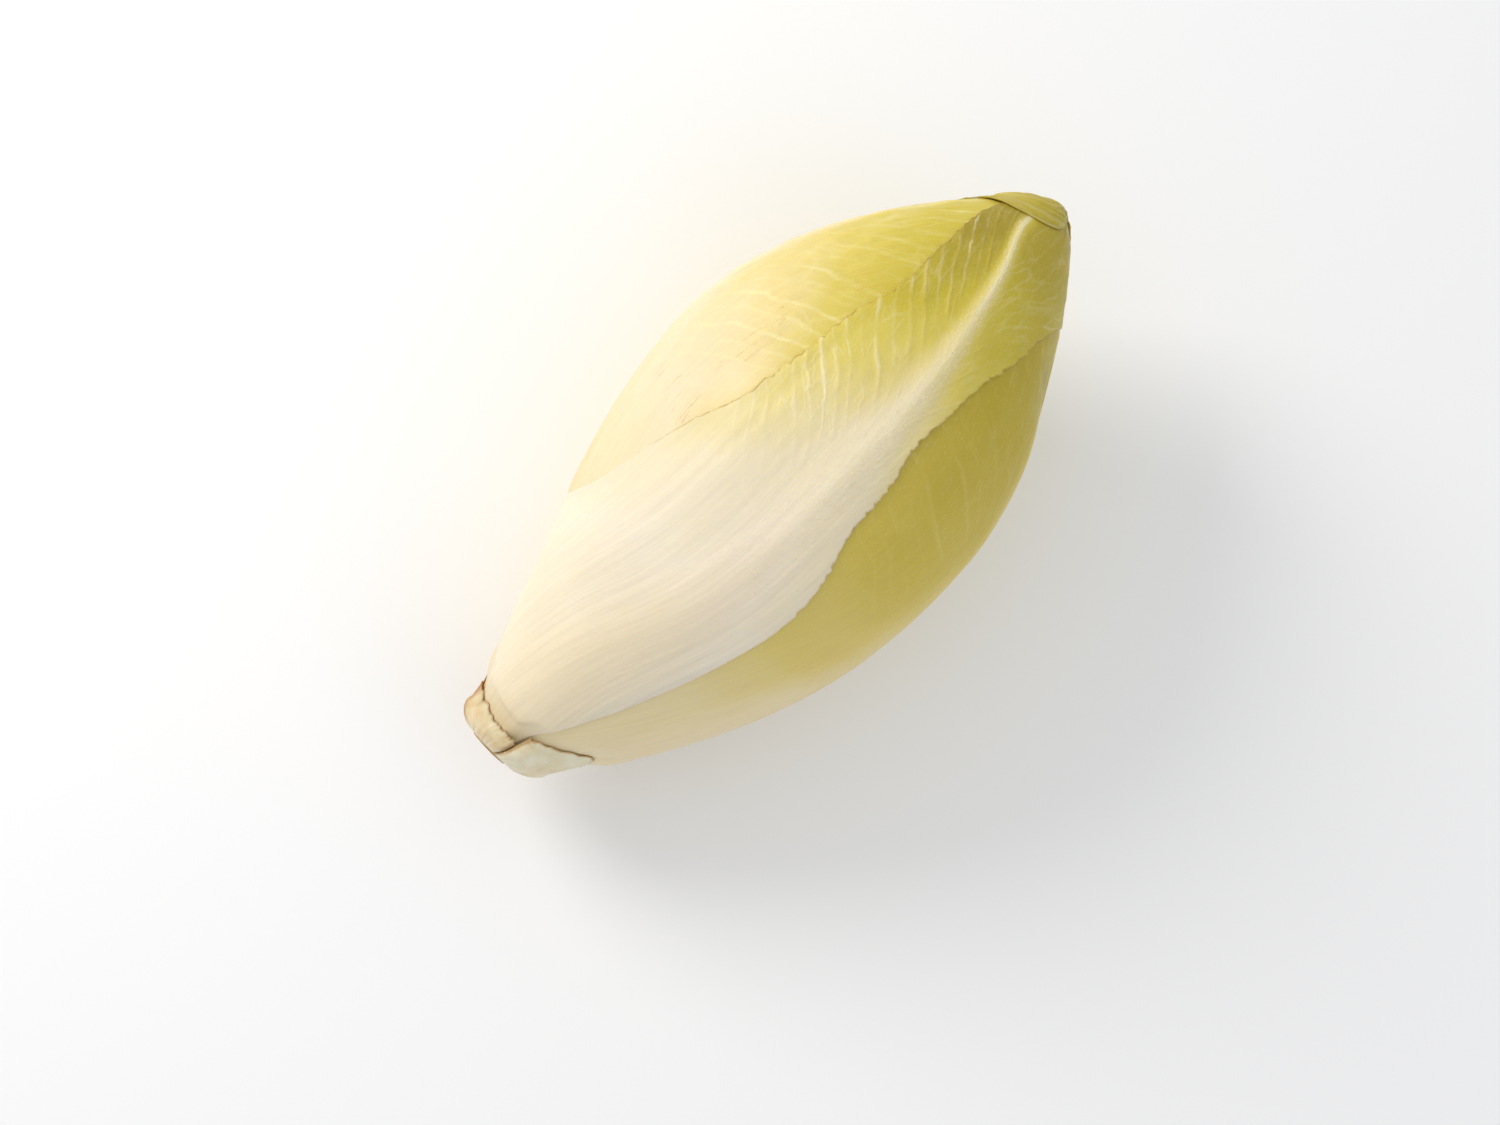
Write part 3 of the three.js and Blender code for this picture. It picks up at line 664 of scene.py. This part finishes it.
# ---- The core ----
# The short solid cone that all the leaves grow from, turned here as one piece. Its round butt
# ends in the knife cut that parted the head from its root.
CUT_RADIUS, CUT_BEVEL = CORE[0][1], 0.0006
bm = bmesh.new()
profile = [(CUT_AT, r) for r in (0, 1, 2, 3, 3.9)] + [(CUT_AT + CUT_BEVEL, CUT_RADIUS)] + CORE[1:]
ring = [bm.verts.new((t * LENGTH, 0, r)) for t, r in profile]
edges = [bm.edges.new(pair) for pair in zip(ring, ring[1:])]
bmesh.ops.spin(
    bm, geom=ring + edges, cent=(0, 0, 0), axis=(1, 0, 0), angle=math.tau, steps=72, use_merge=True,
)
bmesh.ops.remove_doubles(bm, verts=bm.verts[:], dist=1e-4)
bmesh.ops.recalc_face_normals(bm, faces=bm.faces[:])
inset = bm.verts.layers.float.new("inset")
for vert in bm.verts:
    x, y, z = vert.co
    r = math.hypot(y, z)
    vert[inset] = 2
    if x < (CUT_AT + 2 * CUT_BEVEL) * LENGTH:
        vert[inset] = CUT_RADIUS - r
        x += 0.12 + 0.1 * noise.noise((y / 1.5, z / 1.5, 4)) + 0.06 * math.sin(r * 4)
    t = x / LENGTH
    spot = pitched(x, y - BOW * t * (1 - t) ** 3, z * FLATNESS) + BUTT_AT
    vert.co = Vector([float(c) for c in spot]) / 1000
for face in bm.faces:
    face.smooth = True
core_mesh = bpy.data.meshes.new("core_cone")
bm.to_mesh(core_mesh)
bm.free()
core_skin = cut_tissue("core_skin", (0.82, 0.68, 0.42), (0.68, 0.49, 0.22), (0.36, 0.19, 0.07))
add_piece("core_cone", core_mesh, core_skin, "core")


# ---- The inner leaves ----
# The leaves that the four outer ones hide, down to the heart. They keep their own solids and
# only take a leaf's finish: paler and yellower inwards, as they grew without light.
def hidden_skin(name, pale_part, yellow_part):
    n = Nodes(name)
    where = n.add("TexCoord").outputs["Object"]
    blotches = n.add("TexNoise", {"Vector": where, "Scale": 70, "Detail": 4}).outputs["Fac"]
    n.put(n.shader.inputs["Base Color"], n.ramp(blotches, [(0.3, pale_part), (0.7, yellow_part)]))
    n.put(n.shader.inputs["Roughness"], n.spread(blotches, 0.3, 0.7, 0.38, 0.5))
    fine = n.add("TexNoise", {"Vector": where, "Scale": 400, "Detail": 4}).outputs["Fac"]
    bump = n.add("Bump", {"Height": fine, "Strength": 0.3, "Distance": 0.0005})
    n.put(n.shader.inputs["Normal"], bump.outputs[0])
    n.shader.inputs["Subsurface Weight"].default_value = 0.25
    n.shader.inputs["Subsurface Scale"].default_value = 0.003
    return n.material


finishes = {
    "inner_leaf": hidden_skin("inner_leaf_skin", (0.90, 0.86, 0.62), (0.84, 0.78, 0.36)),
    "heart_leaf": hidden_skin("heart_leaf_skin", (0.90, 0.84, 0.42), (0.84, 0.74, 0.20)),
}
for name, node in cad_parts.items():
    finish = finishes.get(name.rsplit("_", 1)[0])
    if finish:
        node.data.materials.clear()
        node.data.materials.append(finish)


# ---- Floor, light and camera ----
# A plain pale table under soft studio light. The camera looks square onto the head's length,
# with its nose up and to the right.
TURN, FLOOR_HALF = math.radians(43.8), 1.6
along_head = Vector((math.cos(PITCH), 0, math.sin(PITCH)))
towards = Vector((-math.sin(PITCH), 0, math.cos(PITCH)))
right = math.cos(TURN) * along_head - math.sin(TURN) * Vector((0, 1, 0))
up = towards.cross(right)

bm = bmesh.new()
bmesh.ops.create_grid(bm, x_segments=1, y_segments=1, size=FLOOR_HALF)
floor_mesh = bpy.data.meshes.new("floor")
bm.to_mesh(floor_mesh)
bm.free()
floor = bpy.data.objects.new("floor", floor_mesh)
bpy.context.scene.collection.objects.link(floor)
table = Nodes("pale_table")
table.shader.inputs["Base Color"].default_value = (0.94, 0.945, 0.95, 1)
table.shader.inputs["Roughness"].default_value = 0.7
floor_mesh.materials.append(table.material)

world = bpy.data.worlds.new("studio")
world.use_nodes = True
world.node_tree.nodes["Background"].inputs["Color"].default_value = (0.97, 0.98, 1.0, 1)
world.node_tree.nodes["Background"].inputs["Strength"].default_value = 0.72
bpy.context.scene.world = world
bpy.context.scene.view_settings.view_transform = "Standard"


def lamp(name, offset, size, power, colour):
    light = bpy.data.lights.new(name, "AREA")
    light.shape = "DISK"
    light.size, light.energy, light.color = size, power, colour
    held = bpy.data.objects.new(name, light)
    bpy.context.scene.collection.objects.link(held)
    held.location = centre + offset
    held.rotation_euler = offset.to_track_quat("Z", "Y").to_euler()


key_from = 0.55 * (-0.75 * right + 0.75 * up + 0.7 * towards)
fill_from = 0.8 * (0.9 * right - 0.5 * up + 0.8 * towards)
lamp("key", key_from, size=0.35, power=2.7, colour=(1.0, 0.96, 0.90))
lamp("fill", fill_from, size=0.7, power=0.6, colour=(0.95, 0.97, 1.0))

# The head lies a little above and to the right of the frame's centre.
LENS, SENSOR, FRAME_WIDTH = 85.0, 36.0, 0.294
ASIDE, BELOW = 0.00706, 0.01813
camera = bpy.data.objects.new("camera", bpy.data.cameras.new("camera"))
bpy.context.scene.collection.objects.link(camera)
camera.data.lens, camera.data.sensor_width = LENS, SENSOR
aim = centre - ASIDE * right - BELOW * up
camera.location = aim + towards * FRAME_WIDTH * LENS / SENSOR
camera.rotation_euler = Matrix((right, up, towards)).transposed().to_euler()
bpy.context.scene.camera = camera
